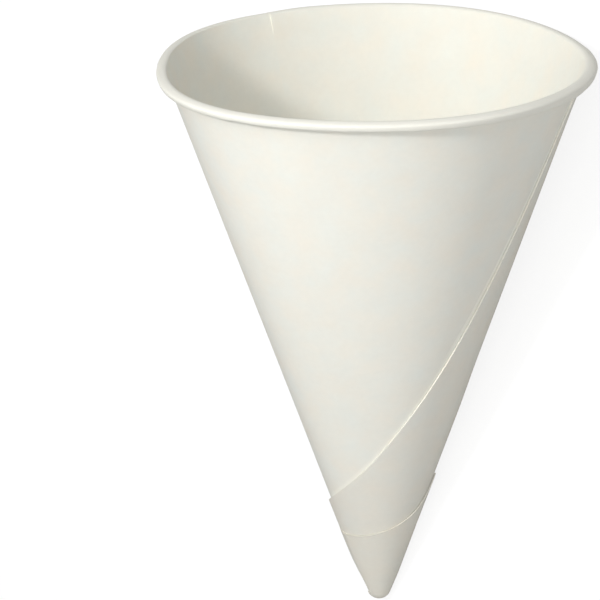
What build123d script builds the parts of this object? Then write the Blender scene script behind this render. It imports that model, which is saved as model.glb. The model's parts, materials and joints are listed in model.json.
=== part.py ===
from build123d import *
import math
import os

# A cone paper cup: one sheet of paper wound into a cone, with a rolled rim and a blunt closed nose.
# It lies on its side, on the rolled rim and the nose, with its mouth towards +Y.
# Lengths are in millimetres and angles in degrees.

# Cone
RIM_DIAMETER = 73.0
HALF_ANGLE = 20.0
PAPER = 0.25

# Rolled rim: an oval roll of the sheet's own edge, turned outwards and down
ROLL_WIDTH = 2.2
ROLL_HEIGHT = 2.1
ROLL_TURN = 290.0

# Nose: the rounded end where the layers are pressed together, with a small flat in its middle.
# The plug reaches into the layers by a multiple of their pitch, and the cutter that rounds the
# nose clears it by a multiple of its radius.
NOSE_SETBACK = 2.2
NOSE_RADIUS = 1.9
NOSE_FLAT = 0.5
NOSE_FLARE = 12.0
NOSE_FLOOR = 1.2
PLUG_REACH = 1.25
NOSE_CLEAR = 4.0

# Sheet, measured flat. Its inner edge runs along the wall to the point, and every flat angle
# starts there. The long side cut and the end cut are straight and square to each other.
INNER_EDGE_AZIMUTH = 119.0
SIDE_CUT_REACH = 19.7
SIDE_CUT_ANGLE = 248.0
END_CUT_REACH = 15.9
TAIL_ANGLE = 354.0

# Rest: how far the paper is pressed flat where the rim and the nose lie on the floor
REST_FLAT = 0.14

# Cutting allowances
SUNK = PAPER / 2
CUT_OVERRUN = 6.0
CUT_STEP = 8.0
CUT_INSIDE = 3.0
CUT_OUTSIDE = 45.0
CUT_HEIGHT = 160.0
CUT_PAST_RIM = 12.0

# Worked out from the sizes above
SLOPE = math.tan(math.radians(HALF_ANGLE))
SIN = math.sin(math.radians(HALF_ANGLE))
COS = math.cos(math.radians(HALF_ANGLE))
PITCH = PAPER / COS
ROLL_RADIUS = (RIM_DIAMETER - ROLL_WIDTH) / 2
ROLL_LEAN = math.degrees(math.atan(ROLL_HEIGHT / ROLL_WIDTH * SLOPE))
ROLL_LEVEL = (ROLL_RADIUS - ROLL_WIDTH / 2 * math.cos(math.radians(ROLL_LEAN))) / SLOPE
ROLL_LEVEL -= ROLL_HEIGHT / 2 * math.sin(math.radians(ROLL_LEAN))
RIM_SLANT = (ROLL_LEVEL + ROLL_HEIGHT) / COS
FOOT_LEVEL = NOSE_SETBACK / 2
WINDING = TAIL_ANGLE / SIN
HALF_TURNS = math.ceil(WINDING / 180)


def flat_angle(winding):
    """The angle in the flat sheet that a winding about the cone's axis takes up."""
    return winding * SIN


def cut_slant(winding, reach, nearest):
    """How far from the cone's point a straight cut of the sheet crosses the wall."""
    return reach / math.cos(math.radians(flat_angle(winding) - nearest))


def cut_span(reach, nearest):
    """The windings between which a straight cut stays below the rim."""
    half = math.degrees(math.acos(reach / (RIM_SLANT + CUT_PAST_RIM)))
    return (nearest - half) / SIN, (nearest + half) / SIN


def half_turn_centre(half_turn):
    """The two centres of the spiral lie a quarter of its pitch either side of the cone's axis."""
    side = -PITCH / 4 if half_turn % 2 == 0 else PITCH / 4
    azimuth = math.radians(INNER_EDGE_AZIMUTH)
    return side * math.cos(azimuth), side * math.sin(azimuth)


def half_turn_plane(half_turn):
    """The upright plane through the axis in which a half turn of the sheet starts."""
    azimuth = math.radians(INNER_EDGE_AZIMUTH - 180 * half_turn)
    x, y = half_turn_centre(half_turn)
    outwards = (math.cos(azimuth), math.sin(azimuth), 0)
    return Plane(origin=(x, y, 0), x_dir=outwards, z_dir=(outwards[1], -outwards[0], 0))


def roll_tangent(centre, width, height):
    """Where the wall's straight line runs into an oval of the rolled rim."""
    lean = math.atan(height / width * SLOPE)
    point = (centre[0] - width / 2 * math.cos(lean), centre[1] + height / 2 * math.sin(lean))
    return point, math.degrees(lean)


def down_the_wall(point, level):
    """The point at a lower level on the line through a point along the wall."""
    return point[0] - (point[1] - level) * SLOPE, level


def draw_section(half_turn):
    """The section of one layer of the sheet: its wall and, where it reaches it, the rolled rim."""
    layer = half_turn // 2
    skin = layer * PAPER - (SUNK if layer else 0)
    centre = (ROLL_RADIUS + (half_turn % 2 - 0.5) * PITCH / 2, ROLL_LEVEL)
    outer_width = ROLL_WIDTH - 2 * skin
    outer_height = ROLL_HEIGHT - 2 * skin
    inner_width = ROLL_WIDTH - 2 * (layer + 1) * PAPER
    inner_height = ROLL_HEIGHT - 2 * (layer + 1) * PAPER
    rolled = 180 * half_turn < cut_span(SIDE_CUT_REACH, SIDE_CUT_ANGLE)[0]
    inside, lean = roll_tangent(centre, outer_width, outer_height)
    foot_inside = down_the_wall(inside, FOOT_LEVEL)
    with BuildSketch(half_turn_plane(half_turn)) as section:
        with BuildLine():
            if rolled:
                outside, inner_lean = roll_tangent(centre, inner_width, inner_height)
                foot_outside = down_the_wall(outside, FOOT_LEVEL)
                start = 180 - ROLL_LEAN - ROLL_TURN
                skin_turn = 180 - lean - start
                hollow_turn = 180 - inner_lean - start
                skin_line = EllipticalCenterArc(
                    centre, outer_width / 2, outer_height / 2, start, arc_size=skin_turn
                )
                hollow_line = EllipticalCenterArc(
                    centre, inner_width / 2, inner_height / 2, start, arc_size=hollow_turn
                )
                Line(skin_line @ 0, hollow_line @ 0)
                Polyline(hollow_line @ 1, foot_outside, foot_inside, skin_line @ 1)
            else:
                across = PITCH + SUNK / COS
                top_inside = down_the_wall(inside, ROLL_LEVEL - ROLL_HEIGHT)
                Polyline(
                    foot_inside,
                    top_inside,
                    (top_inside[0] + across, top_inside[1]),
                    (foot_inside[0] + across, foot_inside[1]),
                    close=True,
                )
        make_face()
    return section.sketch


def cut_face(reach, nearest, start, end):
    """A strip square to the wall that follows a straight cut of the sheet around the cone."""
    steps = math.ceil((end - start) / CUT_STEP)
    near = []
    far = []
    for step in range(steps + 1):
        winding = start + (end - start) * step / steps
        azimuth = math.radians(INNER_EDGE_AZIMUTH - winding)
        slant = cut_slant(winding, reach, nearest)
        radius = slant * SIN + PITCH * (winding / 360 - 0.25)
        point = Vector(radius * math.cos(azimuth), radius * math.sin(azimuth), slant * COS)
        square = Vector(COS * math.cos(azimuth), COS * math.sin(azimuth), -SIN)
        near.append(point - square * CUT_INSIDE)
        far.append(point + square * CUT_OUTSIDE)
    with BuildLine() as near_line:
        Spline(*near)
    with BuildLine() as far_line:
        Spline(*far)
    return Face.make_surface_from_curves(near_line.edges()[0], far_line.edges()[0])


def wind_half_turn(half_turn):
    """One half turn of the sheet, trimmed along the sheet's straight cuts."""
    start = 180 * half_turn
    end = min(start + 180, WINDING)
    x, y = half_turn_centre(half_turn)
    section = draw_section(half_turn)
    with BuildPart() as wound:
        revolve(section, axis=Axis((x, y, 0), (0, 0, -1)), revolution_arc=end - start)
        cuts = (
            (SIDE_CUT_REACH, SIDE_CUT_ANGLE),
            (END_CUT_REACH, SIDE_CUT_ANGLE + 90),
        )
        for reach, nearest in cuts:
            low, high = cut_span(reach, nearest)
            low = max(low, start - CUT_OVERRUN)
            high = min(high, end + CUT_OVERRUN)
            if low < end and high > start:
                strip = cut_face(reach, nearest, low, high)
                extrude(strip, amount=CUT_HEIGHT, dir=(0, 0, 1), mode=Mode.SUBTRACT)
    return wound.part


# Sheet: the layers of the wound wall, with the point of the cone at the origin
layers = [wind_half_turn(half_turn) for half_turn in range(HALF_TURNS)]

# Nose: a pressed plug closes the point, and the outside is rounded
tangent_radius = NOSE_RADIUS * COS
tangent_level = NOSE_SETBACK + NOSE_RADIUS * (1 - SIN)
flare_slope = math.tan(math.radians(HALF_ANGLE + NOSE_FLARE))
flare_top = tangent_level + NOSE_CLEAR * NOSE_RADIUS
nose_clear = tangent_radius + NOSE_CLEAR * NOSE_RADIUS * flare_slope
nose_cap = math.degrees(math.asin(NOSE_FLAT / NOSE_RADIUS))

with BuildPart() as upright:
    add(layers)
    with BuildSketch(Plane.XZ):
        with BuildLine():
            plug_top = NOSE_SETBACK + NOSE_FLOOR
            Polyline(
                (0, FOOT_LEVEL),
                (FOOT_LEVEL * SLOPE + PLUG_REACH * PITCH, FOOT_LEVEL),
                (plug_top * SLOPE + PLUG_REACH * PITCH, plug_top),
                (0, plug_top),
                close=True,
            )
        make_face()
    revolve(axis=Axis.Z)
    with BuildSketch(Plane.XZ):
        with BuildLine():
            nose_arc = CenterArc(
                (0, NOSE_SETBACK + NOSE_RADIUS),
                NOSE_RADIUS,
                nose_cap - 90,
                90 - HALF_ANGLE - nose_cap,
            )
            Polyline(
                nose_arc @ 1,
                (nose_clear, flare_top),
                (nose_clear, 0),
                (0, 0),
                (0, (nose_arc @ 0).Y),
                nose_arc @ 0,
            )
        make_face()
    revolve(axis=Axis.Z, mode=Mode.SUBTRACT)

# Rest: the cup rolls until its heavier side is down, and leans on the nose's shoulder and the rim
balance = upright.part.center(CenterOf.MASS)
down_azimuth = math.degrees(math.atan2(balance.Y, balance.X))
first_pass = (INNER_EDGE_AZIMUTH - down_azimuth) % 360
last_pass = first_pass + 360 * math.floor((WINDING - first_pass) / 360)
outermost = PITCH * (last_pass / 360 + 0.75)
shoulder_level = (outermost - tangent_radius + tangent_level * flare_slope) / (flare_slope - SLOPE)
shoulder_radius = shoulder_level * SLOPE + outermost
roll_run = ROLL_RADIUS + PITCH * (first_pass / 360 - 0.25) - shoulder_radius
roll_rise = ROLL_LEVEL - shoulder_level
roll_reach = math.hypot(ROLL_WIDTH / 2 * COS, ROLL_HEIGHT / 2 * SIN)
rest_tilt = math.atan2(roll_run, roll_rise) + math.asin(roll_reach / math.hypot(roll_run, roll_rise))

mouth_way = (0, math.cos(rest_tilt), math.sin(rest_tilt))
across_way = (
    math.sin(math.radians(down_azimuth)),
    math.cos(math.radians(down_azimuth)) * math.sin(rest_tilt),
    -math.cos(math.radians(down_azimuth)) * math.cos(rest_tilt),
)
with BuildPart(Plane(origin=(0, 0, 0), x_dir=across_way, z_dir=mouth_way)) as laid:
    add(upright.part)
box = laid.part.bounding_box()
middle = box.center()

# Cone cup: one piece, with the origin on the floor under the middle of its outline
floor_drop = box.min.Z + REST_FLAT
with BuildPart(Plane(origin=(-middle.X, -middle.Y, -floor_drop))) as cone_cup:
    add(laid.part)
    split(bisect_by=Plane.XY, keep=Keep.TOP)
cone_cup.part.label = "cone_cup"

os.makedirs("parts", exist_ok=True)
export_step(cone_cup.part, "parts/cone_cup.step")
print("down azimuth", round(down_azimuth, 2), "rest tilt", round(math.degrees(rest_tilt), 3))
print("balance", tuple(round(v, 2) for v in balance), "volume", round(cone_cup.part.volume, 1))
print("cup frame origin", tuple(round(v, 3) for v in (-middle.X, -middle.Y, -floor_drop)))
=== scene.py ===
import json
import math

import bpy
from bpy.props import FloatProperty, FloatVectorProperty, IntProperty, PointerProperty
from mathutils import Matrix, Vector


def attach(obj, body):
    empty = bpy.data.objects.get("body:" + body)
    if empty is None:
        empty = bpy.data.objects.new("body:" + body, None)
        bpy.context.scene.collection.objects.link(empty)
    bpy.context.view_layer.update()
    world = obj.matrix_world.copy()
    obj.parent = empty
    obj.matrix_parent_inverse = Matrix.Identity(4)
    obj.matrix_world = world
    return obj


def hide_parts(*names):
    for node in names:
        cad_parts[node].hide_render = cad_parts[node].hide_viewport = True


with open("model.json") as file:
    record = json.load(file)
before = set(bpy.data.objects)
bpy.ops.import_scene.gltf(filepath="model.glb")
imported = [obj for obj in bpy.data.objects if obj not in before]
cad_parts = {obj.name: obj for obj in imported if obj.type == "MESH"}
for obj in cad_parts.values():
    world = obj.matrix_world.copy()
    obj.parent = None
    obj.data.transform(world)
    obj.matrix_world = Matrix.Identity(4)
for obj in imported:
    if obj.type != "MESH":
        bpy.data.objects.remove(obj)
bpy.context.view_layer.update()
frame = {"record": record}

bl_info = {
    "name": "Cone paper cup",
    "version": (1, 0, 0),
    "blender": (4, 5, 0),
    "location": "3D View > Sidebar > Cone cup",
    "description": "Winds a cone paper cup from one flat sheet and sets up its studio",
    "category": "Add Mesh",
}

MM = 0.001
TURN = 2 * math.pi


def in_mm(*values):
    return [value * MM for value in values]


def in_degrees(*values):
    return [math.radians(value) for value in values]


# The cup's own frame comes from the record: the seat's axis and the sharp point 60 mm below it
SEAT = next(mount for mount in frame["record"]["mounts"] if mount["name"] == "holder_seat")
SEAT_REACH = 60 * MM

# Angle about the cup's axis that lies underneath, where the sheet overlaps itself most
HEAVY_SIDE = math.radians(43.76)

# Stretches of the winding, counted from the inner edge, over which something sets in or ends
PRESS_ENDS = in_degrees(0, 40)
ROLL_PRESS_ENDS = in_degrees(0, 9)
TAIL_STANDS_OFF = in_degrees(560, 600)
NOSE_CLOSES = in_degrees(655, 675)
TAIL_TUCKS = in_degrees(985, 1005)

# Stretches up the wall from the sharp point, and down it from the rim
LOOSE_FROM = in_mm(4.5, 12)
SEAM_PRESS_FROM = in_mm(38, 48)
SEAM_PRESS_BELOW_RIM = in_mm(1, 8)
EDGE_LIFT_BELOW_RIM = in_mm(1, 14)
PRESS_BELOW_RIM = in_mm(0.8, 4)

# Levels between which the cone goes from round to its own slightly many-sided form
ROUND_ENDS = in_mm(5, 40)

# Flat angles past the long cut's foot over which its dip sets in and ends
DIP_SETS_IN = in_degrees(-62, -46)
DIP_ENDS = in_degrees(0, 30)

# The cuts: the flat angle before which there are none, how far the flare of the sheet's corner
# reaches, and the least share of a slant that a cut's distance is divided by
CUTS_FROM = math.radians(150)
CORNER_WIDTH = math.radians(6)
LEAST_SHARE = 0.02

# How narrow a form is round the axis: the bulge and the seam's press, the slack roll, the pinch
SIDE_NARROWNESS = 3.0
SLACK_NARROWNESS = 4.0
PINCH_NARROWNESS = 10.0

# Half the width of the pinch's step, as the sine of an angle about the axis
PINCH_STEP = 0.035

# How much closer rows lie towards the top, and how far above the nose the inner layers start
ROW_PACKING = 1.7
INNER_START = 1.2 * MM

# Share of the wall's bulge that is lost with each metre up the wall
BULGE_FADE = 0.65 / (100 * MM)

# The inner edge in the roll: how much it is pressed, and the share of the roll that this takes
ROLL_PRESS = 0.85
ROLL_PRESS_SETS_IN = 0.1

# The roll's uneven lower edge: its waves round the axis, and the part of the roll's turn
SCALLOP_WAVES = 9.0
SCALLOPED = in_degrees(120, 230)

# Points nearer than these are welded: in the flat slab's own units, and in the wound cup
FLAT_WELD = 0.1
WELD = 0.002 * MM

# Patterns of the paper: their noise scales on the flat sheet and how strong each one is, the
# hues in red, green and blue
CLOUDS, CLOUD_SHARE = 160.0, 0.9
SPECKS, SPECK_SHARE = 900.0, 1.1
FIBRES, FIBRE_SHARE = 700.0, 0.4
TOOTH, TOOTH_SHARE = 2600.0, 0.6
HUES, HUE_SHARES = 190.0, (1.0, -0.25, -1.2)

# A painted highlight along a cut edge, which turns to painted shade over two layers more, and a
# line of painted light beside the seam
EDGE_HIGHLIGHT_ENDS = in_mm(0.1, 0.3)
TWICE_BACKED_EDGE_SHADE = -1.2
SEAM_LIGHT_ENDS = in_mm(0, 0.75)

# High up the wall that painted light beside the seam is a plain band
BAND_FROM = in_mm(45, 60)
BAND_ENDS = in_mm(0.85, 1.05)
BAND_STRENGTH = 1.1

# Where each lamp hangs: angles round the cup's axis and above its mouth's plane
KEY_AZIMUTH, KEY_HEIGHT = in_degrees(-130, 20)
LOW_FILL_WAY = in_degrees(-100, 0)
HIGH_FILL_WAY = in_degrees(-124, 42)

# Sizes and colours of the studio, in metres
KEY_RADIUS = 0.045
FILL_DISTANCE = 0.9
FILL_SIZE = 0.5
FILL_TINT = (1, 1, 0.985)
ROOM_TINT = (0.958, 0.969, 1, 1)
WHITE = (1, 1, 1, 1)
FLOOR_REACH = 4.0
FLOOR_SEEN = (0.22, 0.22, 0.22, 1)
FLOOR_GLOW = 0.845


def cup_matrix():
    """The cup's own frame in the row: sharp point at its origin, +Z towards the mouth.

    The heavier side is underneath."""
    mouth = Vector(SEAT["axis"]).normalized()
    down = (Vector((0, 0, -1)) + mouth * mouth.z).normalized()
    across = mouth.cross(down)
    right = down * math.cos(HEAVY_SIDE) - across * math.sin(HEAVY_SIDE)
    matrix = Matrix((right, mouth.cross(right), mouth)).transposed().to_4x4()
    matrix.translation = Vector(SEAT["pos_m"]) - mouth * SEAT_REACH
    return matrix


# Property groups


def length(name, description, value):
    return FloatProperty(
        name=name, description=description, default=value, unit="LENGTH", precision=5
    )


def angle(name, description, degrees):
    return FloatProperty(
        name=name, description=description, default=math.radians(degrees), subtype="ANGLE"
    )


def factor(name, description, value):
    return FloatProperty(name=name, description=description, default=value)


def number(name, description, value):
    return IntProperty(name=name, description=description, default=value)


def colour(name, description, value):
    return FloatVectorProperty(
        name=name, description=description, default=value, subtype="COLOR", size=3, min=0, max=1
    )


class ConeCupSheet(bpy.types.PropertyGroup):
    """Sizes of the flat sheet and of the cone that it is wound into"""

    half_angle: angle("Half angle", "Between the wall and the cone's axis", 20)
    paper: length("Paper", "Thickness of the sheet", 0.25 * MM)
    layer_gap: length("Layer gap", "Air between two layers", 0.004 * MM)
    inner_edge: angle("Inner edge", "Angle about the axis of the sheet's inner edge", 119)
    rim_slant: length("Rim slant", "Along the wall from the point to the roll", 100.77 * MM)

    side_reach: length("Side reach", "Least distance of the long cut from the point", 19.8 * MM)
    side_angle: angle("Side angle", "Flat angle where the long cut is nearest", 247.94)
    side_dip: length("Side dip", "How far the long cut dips near its foot", 0.33 * MM)
    end_reach: length("End reach", "Least distance of the end cut from the point", 15.92 * MM)
    end_angle: angle("End angle", "Flat angle where the end cut is nearest", 337.94)
    corner_flare: length("Corner flare", "Of the end cut at the sheet's corner", 0.9 * MM)
    tail_angle: angle("Tail angle", "Flat angle of the whole sheet", 354)

    roll_half_width: length("Roll half width", "Of the rolled rim, square to the wall", 1.0 * MM)
    roll_rise: length("Roll rise", "Of the rolled rim over its middle", 0.59 * MM)
    roll_drop: length("Roll drop", "Of the rolled rim below its middle", 0.9 * MM)
    roll_sag: length("Roll sag", "How much further it drops at its slack part", 0.45 * MM)
    roll_slack: angle("Roll slack", "Angle about the axis of its slack part", -28)
    roll_square: factor("Roll squareness", "Power of its outer side, where 2 is round", 3.2)
    roll_scallop: factor("Roll scallops", "Waves of the rolled rim's lower edge", 0.26)
    roll_turn: angle("Roll turn", "How far round the rim is rolled", 290)
    pinch_depth: length("Pinch depth", "Step in the rolled rim's width", 0.26 * MM)
    pinch_angle: angle("Pinch angle", "Angle about the axis of the step", 14)

    nose_setback: length("Nose setback", "From the sharp point to the blunt nose", 2.2 * MM)
    nose_radius: length("Nose radius", "Rounding of the blunt nose", 2.15 * MM)
    nose_flare: angle("Nose flare", "How far the wall opens just above the nose", 3)

    edge_lift: length("Edge lift", "How far a cut edge stands off the layer below", 0.05 * MM)
    edge_lift_width: length("Edge lift width", "How far in from the edge it reaches", 3.4 * MM)
    inner_press: factor("Inner press", "Share of the inner edge that is pressed flat", 0.97)
    wall_bulge: length("Wall bulge", "How far all layers stand off on the loose side", 0.27 * MM)
    loose_side: angle("Loose side", "Angle about the axis of the bulge", -173)
    tail_bulge: length("Tail bulge", "How far the tail stands off besides", 0.18 * MM)
    tail_tuck: length("Tail tuck", "How far the tail's end is pressed in", 0.24 * MM)
    seam_press: length("Seam press", "How far the wall is pressed in at the seam", 0.15 * MM)
    seam_side: angle("Seam side", "Angle about the axis of that press", -3)

    growth: factor("Growth", "Of the mean radius, as a share of it", 0.01)
    two_fold: factor("Two-fold", "Out of round, as a share of the radius", 0.0066)
    two_crest: angle("Two-fold crest", "Angle about the axis", 90)
    three_fold: factor("Three-fold", "Out of round, as a share of the radius", 0.0106)
    three_crest: angle("Three-fold crest", "Angle about the axis", -20)
    four_fold: factor("Four-fold", "Out of round, as a share of the radius", 0.009)
    four_crest: angle("Four-fold crest", "Angle about the axis", -42)
    five_fold: factor("Five-fold", "Out of round, as a share of the radius", 0.0073)
    five_crest: angle("Five-fold crest", "Angle about the axis", -2)


class ConeCupGrid(bpy.types.PropertyGroup):
    """How finely the sheet is divided"""

    rim_columns: number("Rim columns", "Along the rolled part", 360)
    cut_columns: number("Cut columns", "Along the long cut", 120)
    tail_columns: number("Tail columns", "Along the end cut", 80)
    nose_rows: number("Nose rows", "From the pole to the wall", 8)
    wall_rows: number("Wall rows", "From the nose to the rim", 44)
    roll_rows: number("Roll rows", "Round the rolled rim", 22)


class ConeCupPaper(bpy.types.PropertyGroup):
    """Colours of the paper, with painted shade over more layers and painted light along the cut
    edges and the seam
    """

    single: colour("One layer", "Paper with nothing behind it", (0.90, 0.884, 0.80))
    # Painted shade: paper with more layers behind it is painted darker, in place of the light that
    # shines through a single layer but not through more
    double: colour("Two layers", "Paper backed by one more layer", (0.845, 0.82, 0.735))
    triple_shaded: colour("Three layers", "Paper backed by two more layers", (0.828, 0.8, 0.711))
    roughness: factor("Roughness", "Of the uncoated paper", 0.82)
    mottle: factor("Mottle", "Strength of the paper's clouds", 0.05)
    hue: factor("Hue", "Strength of the warm and cool clouds", 0.08)
    # Painted highlight: how much lighter a cut edge is painted, in place of the light that the edge
    # catches
    edge_highlight_and_shade: factor("Cut edge", "How much lighter a cut edge is", 0.04)
    # Painted light: how much lighter the wall is painted just beside the seam, which also lifts the
    # shade that the lifted cut edge casts there
    beside: factor("Beside the seam", "How much lighter the wall is just beside the seam", 0.09)


class ConeCupStudio(bpy.types.PropertyGroup):
    """Camera, lamps and floor"""

    view_height: angle("View height", "Of the camera over the mouth's plane", 17.30)
    view_azimuth: angle("View azimuth", "Of the camera round the cup's axis", -90.26)
    view_roll: angle("View roll", "Of the picture about the line of sight", -0.60)
    distance: length("Camera distance", "From the camera to the cup's middle", 1.8)
    pixels_per_mm: factor("Pixels per millimetre", "At the cup's middle", 6.0425)
    picture_width: factor("Picture width", "In pixels", 600)
    axis_column: factor("Axis column", "Picture column of the cup's middle", 376.64)
    axis_row: factor("Axis row", "Picture row of the cup's middle", 345.08)
    middle_height: length("Middle height", "From the sharp point to the cup's middle", 46.32 * MM)
    key: factor("Key light", "Brightness that it gives a white surface", 0.437)
    key_distance: length("Key distance", "From the cup's axis to the key light", 0.6)
    key_middle: length("Key middle", "Height on the axis where the key light points", 130 * MM)
    key_end: length("Key end", "Height on the axis where the key light ends", 9.5 * MM)
    key_full: length("Key full", "Height on the axis where the key light is full", 34 * MM)
    low_fill: factor("Low fill", "Brightness that it gives a white surface", 0.31)
    high_fill: factor("High fill", "Brightness that it gives a white surface", 0.29)
    surround: factor("Surround", "Brightness of the room", 0.341)
    floor: colour("Floor", "Colour of the floor", (0.55, 0.55, 0.55))


# Fields: formulas written as sums and products that become nodes


class Field:
    """A value in a node tree that can be used in a formula"""

    def __init__(self, tree, socket):
        self.tree = tree
        self.socket = socket

    def plug(self, target):
        self.tree.links.new(self.socket, target)

    def math(self, operation, *others):
        node = self.tree.nodes.new("ShaderNodeMath")
        node.operation = operation
        for place, value in enumerate((self, *others)):
            set_input(node.inputs[place], value)
        return Field(self.tree, node.outputs[0])

    def __add__(self, other):
        return self.math("ADD", other)

    __radd__ = __add__

    def __sub__(self, other):
        return self.math("SUBTRACT", other)

    def __rsub__(self, other):
        return -self + other

    def __neg__(self):
        return self.math("MULTIPLY", -1.0)

    def __mul__(self, other):
        return self.math("MULTIPLY", other)

    __rmul__ = __mul__

    def __truediv__(self, other):
        return self.math("DIVIDE", other)

    def __rtruediv__(self, other):
        return self.math("POWER", -1.0) * other

    def __pow__(self, other):
        return self.math("POWER", other)

    def __abs__(self):
        return self.math("ABSOLUTE")

    def __gt__(self, other):
        return self.math("GREATER_THAN", other)

    def __lt__(self, other):
        return self.math("LESS_THAN", other)

    def sin(self):
        return self.math("SINE")

    def cos(self):
        return self.math("COSINE")

    def tan(self):
        return self.math("TANGENT")

    def exp(self):
        return self.math("EXPONENT")

    def least(self, other):
        return self.math("MINIMUM", other)

    def most(self, other):
        return self.math("MAXIMUM", other)

    def span(self, low, high, start=0.0, end=1.0, smooth=False):
        """This value, mapped from low to high onto start to end and held there outside."""
        node = self.tree.nodes.new("ShaderNodeMapRange")
        node.clamp = True
        node.interpolation_type = "SMOOTHSTEP" if smooth else "LINEAR"
        for name, value in zip(
            ("Value", "From Min", "From Max", "To Min", "To Max"), (self, low, high, start, end)
        ):
            set_input(node.inputs[name], value)
        return Field(self.tree, node.outputs["Result"])

    def rise(self, stretch):
        """Rises smoothly from 0 to 1 while this value passes through a stretch."""
        return self.span(*stretch, smooth=True)

    def fall(self, stretch):
        """Falls evenly from 1 to 0 while this value passes through a stretch."""
        return self.span(*stretch, 1.0, 0.0)

    def bell(self):
        """1 where this value is 0, fading to nothing on both sides."""
        return (-(self * self)).exp()

    def near(self, narrowness):
        """1 where this angle is 0, fading on both sides round the axis."""
        return ((self.cos() - 1.0) * narrowness).exp()

    def mix(self, other, share):
        return self + (other - self) * share


def set_input(socket, value):
    if isinstance(value, Field):
        value.plug(socket)
    else:
        socket.default_value = value


def add_node(tree, kind, settings=None, inputs=None):
    """A new node with its settings and its inputs filled in."""
    node = tree.nodes.new(kind)
    for name, value in (settings or {}).items():
        setattr(node, name, value)
    for name, value in (inputs or {}).items():
        set_input(node.inputs[name], value)
    return node


def add_step(tree, kind, settings=None, inputs=None):
    """The first result of a new node."""
    return Field(tree, add_node(tree, kind, settings, inputs).outputs[0])


def join_xyz(tree, x, y, z):
    return add_step(tree, "ShaderNodeCombineXYZ", inputs={"X": x, "Y": y, "Z": z})


def split_xyz(tree, vector):
    node = add_node(tree, "ShaderNodeSeparateXYZ", inputs={"Vector": vector})
    return [Field(tree, output) for output in node.outputs]


def named(tree, name):
    """A number that is stored on the points under a name."""
    node = add_node(tree, "GeometryNodeInputNamedAttribute", {"data_type": "FLOAT"}, {"Name": name})
    return Field(tree, node.outputs["Attribute"])


def keep(tree, geometry, name, value, kind="FLOAT"):
    """Stores a value on the points under a name."""
    return add_step(
        tree,
        "GeometryNodeStoreNamedAttribute",
        {"data_type": kind, "domain": "POINT"},
        {"Geometry": geometry, "Name": name, "Value": value},
    )


def noise(tree, place, scale, detail, rough=0.5):
    """Soft random clouds between 0 and 1."""
    return add_step(
        tree,
        "ShaderNodeTexNoise",
        inputs={"Vector": place, "Scale": scale, "Detail": detail, "Roughness": rough},
    )


# The wound sheet


def flat_slab(tree, size):
    """A flat slab of columns and rows, one unit apart and one thick.

    Past the rim's columns the sheet is cut off below the rim, so there it has no rows to roll."""
    columns = size["Rim columns"] + size["Cut columns"] + size["Tail columns"]
    wall_top_row = size["Nose rows"] + size["Wall rows"]
    rows = wall_top_row + size["Roll rows"]
    grid = {
        "Size X": columns,
        "Size Y": rows,
        "Vertices X": columns + 1,
        "Vertices Y": rows + 1,
    }
    sheet = add_step(tree, "GeometryNodeMeshGrid", inputs=grid)
    x, y, _ = split_xyz(tree, add_step(tree, "GeometryNodeInputPosition"))
    sheet = keep(tree, sheet, "column", x + columns * 0.5)
    sheet = keep(tree, sheet, "row", y + rows * 0.5)
    unrolled = (named(tree, "column") > size["Rim columns"]) * (named(tree, "row") > wall_top_row)
    sheet = add_step(
        tree,
        "GeometryNodeDeleteGeometry",
        {"domain": "FACE"},
        {"Geometry": sheet, "Selection": unrolled},
    )
    raised = add_step(
        tree,
        "GeometryNodeExtrudeMesh",
        {"mode": "FACES"},
        {"Mesh": sheet, "Offset": join_xyz(tree, 0.0, 0.0, 1.0), "Individual": False},
    )
    # Winding turns the slab inside out, so here its faces point inwards
    raised = add_step(tree, "GeometryNodeFlipFaces", inputs={"Mesh": raised})
    slab = tree.nodes.new("GeometryNodeJoinGeometry")
    sheet.plug(slab.inputs[0])
    raised.plug(slab.inputs[0])
    return add_step(
        tree,
        "GeometryNodeMergeByDistance",
        inputs={"Geometry": Field(tree, slab.outputs[0]), "Distance": FLAT_WELD},
    )


def wound_angle(size, column):
    """The turn about the axis, with a column just at each corner of the sheet."""
    first = size["Rim columns"]
    second = first + size["Cut columns"]
    last = second + size["Tail columns"]
    return (
        column.span(0.0, first, 0.0, size["Cut start"])
        + column.span(first, second, 0.0, size["Corner"] - size["Cut start"])
        + column.span(second, last, 0.0, size["Winding"] - size["Corner"])
    )


def long_cut_reach(size, past_foot):
    """The long cut's distance from the point, by the flat angle past the cut's foot."""
    dip = past_foot.rise(DIP_SETS_IN) * past_foot.span(*DIP_ENDS, 1.0, 0.0, smooth=True)
    return size["Side reach"] - size["Side dip"] * dip


def cut_lines(size, flat, sine):
    """For each cut, the share of a slant that lies towards it and the cut's own distance."""
    cut_flat = flat.most(CUTS_FROM)
    past_foot = cut_flat - size["Side angle"]
    from_corner = (flat - size["Corner"] * sine) / CORNER_WIDTH
    end_reach = size["End reach"] + size["Corner flare"] * from_corner.bell()
    return (
        (past_foot.cos(), long_cut_reach(size, past_foot)),
        ((cut_flat - size["End angle"]).cos(), end_reach),
    )


def layer_height(size, winding, side, below_rim, up_roll):
    """How far a point stands off from the middle of the innermost layer.

    The sheet is pressed thin at its inner edge, over a wide stretch down the wall and a narrow
    one in the roll."""
    thickness = size["Paper"] - size["Layer gap"]
    pressed = size["Inner press"] * (1.0 - winding.rise(PRESS_ENDS))
    pressed = pressed * below_rim.rise(PRESS_BELOW_RIM)
    roll_pressed = winding.span(*ROLL_PRESS_ENDS, ROLL_PRESS, 0.0)
    pressed = pressed.most(roll_pressed * up_roll.span(0.0, ROLL_PRESS_SETS_IN))
    layer = size["Paper"] * winding / TURN
    return layer + thickness * (side - 0.5) + thickness * (1.0 - side) * pressed


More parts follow.
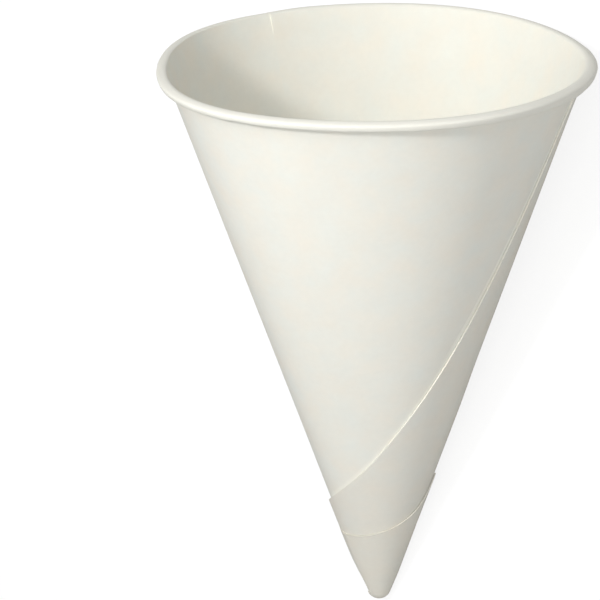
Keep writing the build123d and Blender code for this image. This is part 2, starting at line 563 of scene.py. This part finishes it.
def loose_height(size, winding, azimuth, slant, below_rim):
    """How far all layers together stand off from the cone or are pressed into it."""
    bulge = size["Wall bulge"] * (1.0 - slant * BULGE_FADE)
    bulge = bulge + size["Tail bulge"] * winding.rise(TAIL_STANDS_OFF)
    bulge = bulge * (azimuth - size["Loose side"]).near(SIDE_NARROWNESS) * slant.rise(LOOSE_FROM)
    tuck = size["Tail tuck"] * winding.rise(TAIL_TUCKS)
    seam = size["Seam press"] * (azimuth - size["Seam side"]).near(SIDE_NARROWNESS)
    seam = seam * slant.rise(SEAM_PRESS_FROM) * below_rim.rise(SEAM_PRESS_BELOW_RIM)
    return bulge - tuck - seam


def rolled_rim(tree, size, azimuth, up_roll, standing):
    """How far out from the wall and up along it a point of the rolled rim lies.

    The sheet turns outwards, down and back to the wall, one layer inside the other."""
    roll_angle = up_roll * size["Roll turn"]
    roll_cosine, roll_sine = roll_angle.cos(), roll_angle.sin()
    outer = roll_cosine < 0.0

    slack = (azimuth - size["Roll slack"]).near(SLACK_NARROWNESS)
    drop = size["Roll drop"] + size["Roll sag"] * slack
    high = drop.mix(size["Roll rise"], roll_angle < math.pi) - standing
    circle = join_xyz(tree, azimuth.cos() * SCALLOP_WAVES, azimuth.sin() * SCALLOP_WAVES, 0.0)
    waves = noise(tree, circle, 1.0, detail=2.0, rough=0.6) * 2.0 - 1.0
    high = high * (1.0 + waves * size["Roll scallops"] * roll_angle.rise(SCALLOPED))

    past_pinch = azimuth - size["Pinch angle"]
    pinch = past_pinch.sin().rise((-PINCH_STEP, PINCH_STEP)) * past_pinch.near(PINCH_NARROWNESS)
    wide = size["Roll half width"] - standing - pinch * size["Pinch depth"] * outer

    power = size["Roll squareness"]
    square = (abs(roll_cosine) ** power + abs(roll_sine) ** power) ** (-1.0 / power)
    fuller = 1.0 + (square - 1.0) * outer
    return size["Roll half width"] - wide * roll_cosine * fuller, high * roll_sine * fuller


def out_of_round(size, azimuth):
    """How much wider the cup is than a round cone, as a share of its radius."""
    wider = size["Growth"]
    for waves, name in enumerate(("Two-fold", "Three-fold", "Four-fold", "Five-fold"), 2):
        past_crest = (azimuth - size[name + " crest"]) * float(waves)
        wider = wider + size[name] * past_crest.cos()
    return wider


def wind(tree, size, column, row, side):
    """Where a point of the flat slab comes to lie in the wound cup, in the cup's own frame."""
    half = size["Half angle"]
    sine, cosine = half.sin(), half.cos()
    slope = sine / cosine
    winding = wound_angle(size, column)
    flat = winding * sine
    azimuth = size["Inner edge"] - winding
    cuts = cut_lines(size, flat, sine)
    top = size["Rim slant"]
    for share, reach in cuts:
        top = top.least(reach / share.most(LEAST_SHARE))

    # Rows go up the nose, the wall and the roll, and only the outermost turn has the nose
    nose_top_row = size["Nose rows"]
    wall_top_row = nose_top_row + size["Wall rows"]
    up_nose = row.span(0.0, nose_top_row)
    up_wall = 1.0 - (1.0 - row.span(nose_top_row, wall_top_row)) ** ROW_PACKING
    up_roll = row.span(wall_top_row, wall_top_row + size["Roll rows"])
    nose_wound = winding.rise(NOSE_CLOSES)
    tangent_level = size["Nose setback"] + size["Nose radius"] * (1.0 - sine)
    foot = tangent_level / cosine + (1.0 - nose_wound) * up_nose * INNER_START
    slant = foot + (top - foot) * up_wall

    # The wall: layer on layer, with its cut edges a little lifted
    below_rim = size["Rim slant"] - slant
    side_gap, end_gap = (reach - slant * share for share, reach in cuts)
    edge_gap = side_gap.least(end_gap)
    lift = size["Edge lift"] * (edge_gap / size["Edge lift width"]).bell()
    lift = lift * below_rim.rise(EDGE_LIFT_BELOW_RIM)
    standing = layer_height(size, winding, side, below_rim, up_roll)
    stand_off = standing + lift + loose_height(size, winding, azimuth, slant, below_rim)
    radius = slant * sine + cosine * stand_off
    level = slant * cosine - sine * stand_off

    # It is drawn in where it meets the blunt nose
    outermost = size["Paper"] * (size["Winding"] / TURN + 0.5) / cosine
    flare_slope = (half + size["Nose flare"]).tan()
    flared = size["Nose radius"] * cosine + (level - tangent_level) * flare_slope
    radius = radius * (flared / (level * slope + outermost)).least(1.0)

    # The nose: the outer turn closes over the point
    nose_angle = up_nose * (math.pi / 2 - half)
    nose_radius = size["Nose radius"] - (size["Paper"] - size["Layer gap"]) * (1.0 - side)
    cone_radius = tangent_level * slope
    own_radius = cone_radius + size["Paper"] * (winding / TURN + 0.5) / cosine
    round_radius = nose_radius * nose_angle.sin() * (own_radius / (cone_radius + outermost))
    round_level = size["Nose setback"] + size["Nose radius"] - nose_radius * nose_angle.cos()
    in_nose = nose_wound * (1.0 - row.span(nose_top_row - 0.5, nose_top_row))
    radius = radius.mix(round_radius, in_nose)
    level = level.mix(round_level, in_nose)

    rolled_out, rolled_up = rolled_rim(tree, size, azimuth, up_roll, standing)
    roll_radius = size["Rim slant"] * sine + cosine * rolled_out + sine * rolled_up
    roll_level = size["Rim slant"] * cosine - sine * rolled_out + cosine * rolled_up
    in_roll = row > wall_top_row + 0.5
    radius = radius.mix(roll_radius, in_roll)
    level = level.mix(roll_level, in_roll)

    radius = radius * (1.0 + out_of_round(size, azimuth) * level.rise(ROUND_ENDS))
    under_foot = flat + TURN * sine - size["Side angle"]
    return {
        "position": join_xyz(tree, radius * azimuth.cos(), radius * azimuth.sin(), level),
        "flat": join_xyz(tree, slant * flat.cos(), slant * flat.sin(), up_roll),
        "edge gap": edge_gap,
        "winding": winding / TURN,
        "over edge": slant * under_foot.cos() - long_cut_reach(size, under_foot),
    }


def named_sizes(group):
    """The values of a property group under the names that a user sees."""
    listed = group.bl_rna.properties
    return {listed[key].name: getattr(group, key) for key in type(group).__annotations__}


def winding_values(sheet, grid):
    """What each named input of the tree is set to."""
    values = {**named_sizes(sheet), **named_sizes(grid)}
    sine = math.sin(sheet.half_angle)
    cut_start = sheet.side_angle - math.acos(sheet.side_reach / sheet.rim_slant)
    corner_reach = sheet.end_reach + sheet.corner_flare
    corner = sheet.side_angle + math.atan(corner_reach / sheet.side_reach)
    values["Cut start"] = cut_start / sine
    values["Corner"] = corner / sine
    values["Winding"] = values.pop("Tail angle") / sine
    return values


def winding_tree(values, material, matrix):
    """The geometry nodes that wind the flat sheet into the cup and lay it on the floor."""
    tree = bpy.data.node_groups.new("Wind cone cup", "GeometryNodeTree")
    tree.interface.new_socket("Geometry", in_out="OUTPUT", socket_type="NodeSocketGeometry")
    for name, value in values.items():
        kind = "NodeSocketInt" if isinstance(value, int) else "NodeSocketFloat"
        tree.interface.new_socket(name, in_out="INPUT", socket_type=kind)
    source = tree.nodes.new("NodeGroupInput")
    size = {name: Field(tree, source.outputs[name]) for name in values}

    cup = flat_slab(tree, size)
    _, _, side = split_xyz(tree, add_step(tree, "GeometryNodeInputPosition"))
    cup = keep(tree, cup, "side", side)
    wound = wind(tree, size, named(tree, "column"), named(tree, "row"), named(tree, "side"))
    for name in ("edge gap", "winding", "over edge"):
        cup = keep(tree, cup, name, wound[name])
    cup = keep(tree, cup, "flat", wound["flat"], "FLOAT_VECTOR")

    pose = tree.nodes.new("FunctionNodeCombineMatrix")
    for socket, value in zip(pose.inputs, (value for column in matrix.col for value in column)):
        socket.default_value = value
    laid = add_step(
        tree,
        "FunctionNodeTransformPoint",
        inputs={"Vector": wound["position"], "Transform": Field(tree, pose.outputs[0])},
    )
    # Where the cup lies on the floor, its paper is pressed flat
    x, y, z = split_xyz(tree, laid)
    place = join_xyz(tree, x, y, z.most(0.0))
    for kind, inputs in (
        ("GeometryNodeSetPosition", {"Position": place}),
        ("GeometryNodeMergeByDistance", {"Distance": WELD}),
        ("GeometryNodeSetShadeSmooth", {}),
        ("GeometryNodeRealizeInstances", {}),
        ("GeometryNodeSetMaterial", {"Material": material}),
    ):
        cup = add_step(tree, kind, inputs={"Geometry": cup, **inputs})
    cup.plug(tree.nodes.new("NodeGroupOutput").inputs[0])
    return tree


def plain_mesh(name, tree, values):
    """Runs a tree with its named inputs and returns the result as an object with a plain mesh."""
    holder = bpy.data.objects.new(name + "_tree", bpy.data.meshes.new(name + "_tree"))
    bpy.context.collection.objects.link(holder)
    modifier = holder.modifiers.new("Tree", "NODES")
    modifier.node_group = tree
    for item in tree.interface.items_tree:
        if item.in_out == "INPUT":
            modifier[item.identifier] = values[item.name]
    graph = bpy.context.evaluated_depsgraph_get()
    mesh = bpy.data.meshes.new_from_object(holder.evaluated_get(graph), depsgraph=graph)
    bpy.data.objects.remove(holder)
    mesh.name = name
    piece = bpy.data.objects.new(name, mesh)
    bpy.context.collection.objects.link(piece)
    return piece


# Paper


def attribute(tree, name, output="Fac"):
    """What the winding has stored on the sheet under a name, as a material reads it."""
    node = add_node(tree, "ShaderNodeAttribute", {"attribute_name": name})
    return Field(tree, node.outputs[output])


def vector_math(tree, operation, inputs, output=0):
    node = add_node(tree, "ShaderNodeVectorMath", {"operation": operation}, inputs)
    return Field(tree, node.outputs[output])


def blend(tree, share, first, second):
    """The second colour in place of the first, by a share."""
    node = add_node(tree, "ShaderNodeMix", {"data_type": "RGBA"}, {"Factor": share})
    for place, value in (("A", first), ("B", second)):
        socket = next(entry for entry in node.inputs if (entry.name, entry.type) == (place, "RGBA"))
        set_input(socket, value if isinstance(value, Field) else (*value, 1))
    return Field(tree, next(entry for entry in node.outputs if entry.type == "RGBA"))


def paper_colour(tree, paper, flat):
    """The paper's colour: cloudy, painted darker over more layers as painted shade, with a painted
    highlight along the cut edges and painted light just beside the seam.
    """
    turns = attribute(tree, "winding")
    edge_gap = attribute(tree, "edge gap")
    over_edge = attribute(tree, "over edge")
    outside = attribute(tree, "side") > 0.5
    slant = vector_math(tree, "LENGTH", {0: flat}, "Value")
    backed, twice_backed = turns > 1.0, turns > 2.0
    # Painted shade: where more layers lie behind, the paper is painted darker in place of the light
    # that would shine through a single layer
    tone = blend(tree, backed, paper.single, paper.double)
    tone = blend(tree, twice_backed, tone, paper.triple_shaded)

    clouds = noise(tree, flat, CLOUDS, detail=3.0) - 0.5
    specks = noise(tree, flat, SPECKS, detail=4.0, rough=0.65) - 0.5
    # Painted highlight along the cut edges, turning to painted shade where two more layers lie
    # behind
    edge_highlight_and_shade = edge_gap.fall(EDGE_HIGHLIGHT_ENDS) * backed * (1.0 - twice_backed * (1.0 - TWICE_BACKED_EDGE_SHADE))
    # Painted light just beside the seam, a plain band high up the wall; it also lightens the shade
    # that the lifted edge casts there
    band = over_edge.span(*BAND_ENDS, BAND_STRENGTH, 0.0)
    beside = over_edge.fall(SEAM_LIGHT_ENDS).mix(band, slant.rise(BAND_FROM))
    beside = beside * (over_edge > 0.0) * outside * (1.0 - backed)
    shade = 1.0 + (clouds * CLOUD_SHARE + specks * SPECK_SHARE) * paper.mottle
    # Painted highlight and painted shade along the cut edges, and painted light just beside the
    # seam
    shade = shade + edge_highlight_and_shade * paper.edge_highlight_and_shade + beside * paper.beside

    warmth = (noise(tree, flat, HUES, detail=2.0) - 0.5) * paper.hue
    tint = join_xyz(tree, *(warmth * share + 1.0 for share in HUE_SHARES))
    tinted = vector_math(tree, "MULTIPLY", {0: tone, 1: tint})
    return vector_math(tree, "SCALE", {0: tinted, "Scale": shade})


def paper_material(paper):
    """Uncoated cup paper with its fibres and its fine tooth."""
    material = bpy.data.materials.new("cup_paper")
    material.use_nodes = True
    tree = material.node_tree
    tree.nodes.clear()
    flat = attribute(tree, "flat", "Vector")
    tooth = noise(tree, flat, TOOTH, detail=3.0, rough=0.6) * TOOTH_SHARE
    height = tooth + noise(tree, flat, FIBRES, detail=3.0) * FIBRE_SHARE
    relief = {"Strength": 0.25, "Distance": 0.05 * MM, "Height": height}
    shader = add_step(
        tree,
        "ShaderNodeBsdfPrincipled",
        inputs={
            "Base Color": paper_colour(tree, paper, flat),
            "Roughness": paper.roughness,
            "Specular IOR Level": 0.25,
            "Normal": add_step(tree, "ShaderNodeBump", inputs=relief),
        },
    )
    shader.plug(tree.nodes.new("ShaderNodeOutputMaterial").inputs["Surface"])
    return material


# Studio


def camera_sees(tree, seen, others):
    """Shows one shader to the camera and another to all other rays."""
    path = tree.nodes.new("ShaderNodeLightPath")
    is_camera = Field(tree, path.outputs["Is Camera Ray"])
    return add_step(tree, "ShaderNodeMixShader", inputs={0: is_camera, 1: others, 2: seen})


def floor_material(tint):
    """A pale floor that shows white to the camera and keeps the cup's shadow."""
    material = bpy.data.materials.new("floor_paint")
    material.use_nodes = True
    tree = material.node_tree
    tree.nodes.clear()
    plain = add_step(tree, "ShaderNodeBsdfDiffuse", inputs={"Color": (*tint, 1)})
    matt = add_step(tree, "ShaderNodeBsdfDiffuse", inputs={"Color": FLOOR_SEEN})
    glow = add_step(tree, "ShaderNodeEmission", inputs={"Strength": FLOOR_GLOW})
    white = add_step(tree, "ShaderNodeAddShader", inputs={0: matt, 1: glow})
    shader = camera_sees(tree, white, plain)
    shader.plug(tree.nodes.new("ShaderNodeOutputMaterial").inputs["Surface"])
    return material


def lay_floor(tint):
    """A wide square floor at the height that the cup lies on."""
    reach = FLOOR_REACH
    corners = [(-reach, -reach, 0), (reach, -reach, 0), (reach, reach, 0), (-reach, reach, 0)]
    mesh = bpy.data.meshes.new("floor")
    mesh.from_pydata(corners, [], [(0, 1, 2, 3)])
    mesh.materials.append(floor_material(tint))
    floor = bpy.data.objects.new("floor", mesh)
    bpy.context.collection.objects.link(floor)


def paint_room(brightness):
    """An even room round the cup, which the camera sees as plain white."""
    world = bpy.data.worlds.new("studio")
    bpy.context.scene.world = world
    world.use_nodes = True
    tree = world.node_tree
    tree.nodes.clear()
    paint = {"Color": ROOM_TINT, "Strength": brightness}
    room = add_step(tree, "ShaderNodeBackground", inputs=paint)
    white = add_step(tree, "ShaderNodeBackground", inputs={"Color": WHITE})
    shader = camera_sees(tree, white, room)
    shader.plug(tree.nodes.new("ShaderNodeOutputWorld").inputs["Surface"])


def cup_direction(matrix, azimuth, height):
    """The row's direction towards a place round and above the cup's own mouth."""
    side = math.cos(height)
    local = Vector((math.cos(azimuth) * side, math.sin(azimuth) * side, math.sin(height)))
    return matrix.to_3x3() @ local


def hang_lamp(lamp, aim, direction, distance):
    """Hangs a lamp at a distance from its aim, turned towards it."""
    holder = bpy.data.objects.new(lamp.name, lamp)
    holder.rotation_mode = "QUATERNION"
    holder.location = aim + direction.normalized() * distance
    holder.rotation_quaternion = direction.to_track_quat("Z", "Y")
    bpy.context.collection.objects.link(holder)


def fill_lamp(name, aim, direction, brightness):
    """A soft square lamp that gives a white surface facing it the stated brightness."""
    lamp = bpy.data.lights.new(name, "AREA")
    lamp.shape = "SQUARE"
    lamp.size = FILL_SIZE
    lamp.color = FILL_TINT
    lamp.energy = brightness * (math.pi * FILL_DISTANCE) ** 2
    hang_lamp(lamp, aim, direction, FILL_DISTANCE)


def key_lamp(matrix, studio):
    """A lamp whose soft circle of light fades out towards the cup's point."""
    lamp = bpy.data.lights.new("key", "SPOT")
    outer = studio.key_middle - studio.key_end
    inner = studio.key_middle - studio.key_full
    lamp.spot_size = 2 * math.atan(outer * math.cos(KEY_HEIGHT) / studio.key_distance)
    lamp.spot_blend = 1 - (inner / outer) ** 2
    lamp.shadow_soft_size = KEY_RADIUS
    lamp.energy = studio.key * (TURN * studio.key_distance) ** 2
    aim = matrix @ Vector((0, 0, studio.key_middle))
    direction = cup_direction(matrix, KEY_AZIMUTH, KEY_HEIGHT)
    hang_lamp(lamp, aim, direction, studio.key_distance)


def set_camera(matrix, studio):
    """Puts the camera on the photograph's line of sight to the cup."""
    middle = matrix @ Vector((0, 0, studio.middle_height))
    towards = cup_direction(matrix, studio.view_azimuth, studio.view_height)
    right = matrix.col[2].to_3d().cross(towards).normalized()
    up = towards.cross(right)
    cos_roll, sin_roll = math.cos(studio.view_roll), math.sin(studio.view_roll)
    picture_right = right * cos_roll + up * sin_roll
    picture_up = up * cos_roll - right * sin_roll
    half_picture = studio.picture_width / 2
    metres = MM / studio.pixels_per_mm
    aim = middle + picture_right * (half_picture - studio.axis_column) * metres
    aim += picture_up * (studio.axis_row - half_picture) * metres
    place = middle + towards * studio.distance
    back = (place - aim).normalized()
    across = picture_up.cross(back).normalized()
    camera = bpy.data.cameras.new("camera")
    camera.sensor_width = 36
    focal_pixels = studio.pixels_per_mm * studio.distance / MM
    camera.lens = focal_pixels * camera.sensor_width / studio.picture_width
    camera.clip_start = 0.05
    camera.clip_end = 20
    holder = bpy.data.objects.new("camera", camera)
    frame_axes = Matrix((across, back.cross(across), back)).transposed()
    holder.rotation_mode = "QUATERNION"
    holder.rotation_quaternion = frame_axes.to_quaternion()
    holder.location = place
    bpy.context.collection.objects.link(holder)
    bpy.context.scene.camera = holder


# Operators


class CONECUP_OT_wind_cup(bpy.types.Operator):
    """Winds the flat sheet into the cone cup and gives it its paper"""

    bl_idname = "cone_cup.wind_cup"
    bl_label = "Wind cup"

    def execute(self, context):
        scene = context.scene
        values = winding_values(scene.cone_cup_sheet, scene.cone_cup_grid)
        tree = winding_tree(values, paper_material(scene.cone_cup_paper), cup_matrix())
        cup = plain_mesh("wound_cup", tree, values)
        if not cup.data.polygons:
            raise RuntimeError("the winding nodes made no faces")
        cup.data.set_sharp_from_angle(angle=math.radians(50))
        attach(cup, "root")
        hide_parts("cone_cup")
        return {"FINISHED"}


class CONECUP_OT_build_studio(bpy.types.Operator):
    """Lays the floor, hangs the lamps and puts the camera in the photograph's place"""

    bl_idname = "cone_cup.build_studio"
    bl_label = "Build studio"

    def execute(self, context):
        studio = context.scene.cone_cup_studio
        matrix = cup_matrix()
        middle = matrix @ Vector((0, 0, studio.middle_height))
        lay_floor(studio.floor)
        key_lamp(matrix, studio)
        fill_lamp("low_fill", middle, cup_direction(matrix, *LOW_FILL_WAY), studio.low_fill)
        fill_lamp("high_fill", middle, cup_direction(matrix, *HIGH_FILL_WAY), studio.high_fill)
        paint_room(studio.surround)
        set_camera(matrix, studio)
        context.scene.view_settings.view_transform = "Standard"
        return {"FINISHED"}


class CONECUP_PT_panel(bpy.types.Panel):
    """Lists the cup's operators"""

    bl_idname = "CONECUP_PT_panel"
    bl_label = "Cone cup"
    bl_space_type = "VIEW_3D"
    bl_region_type = "UI"
    bl_category = "Cone cup"

    def draw(self, context):
        for entry in OPERATORS:
            self.layout.operator(entry.bl_idname)


SCENE_GROUPS = {
    "cone_cup_sheet": ConeCupSheet,
    "cone_cup_grid": ConeCupGrid,
    "cone_cup_paper": ConeCupPaper,
    "cone_cup_studio": ConeCupStudio,
}
OPERATORS = (CONECUP_OT_wind_cup, CONECUP_OT_build_studio)
CLASSES = (*SCENE_GROUPS.values(), *OPERATORS, CONECUP_PT_panel)


def register():
    for entry in CLASSES:
        bpy.utils.register_class(entry)
    for name, group in SCENE_GROUPS.items():
        setattr(bpy.types.Scene, name, PointerProperty(type=group))


def unregister():
    for name in SCENE_GROUPS:
        delattr(bpy.types.Scene, name)
    for entry in reversed(CLASSES):
        bpy.utils.unregister_class(entry)


def main():
    register()
    bpy.ops.cone_cup.wind_cup()
    bpy.ops.cone_cup.build_studio()


if __name__ == "__main__":
    main()
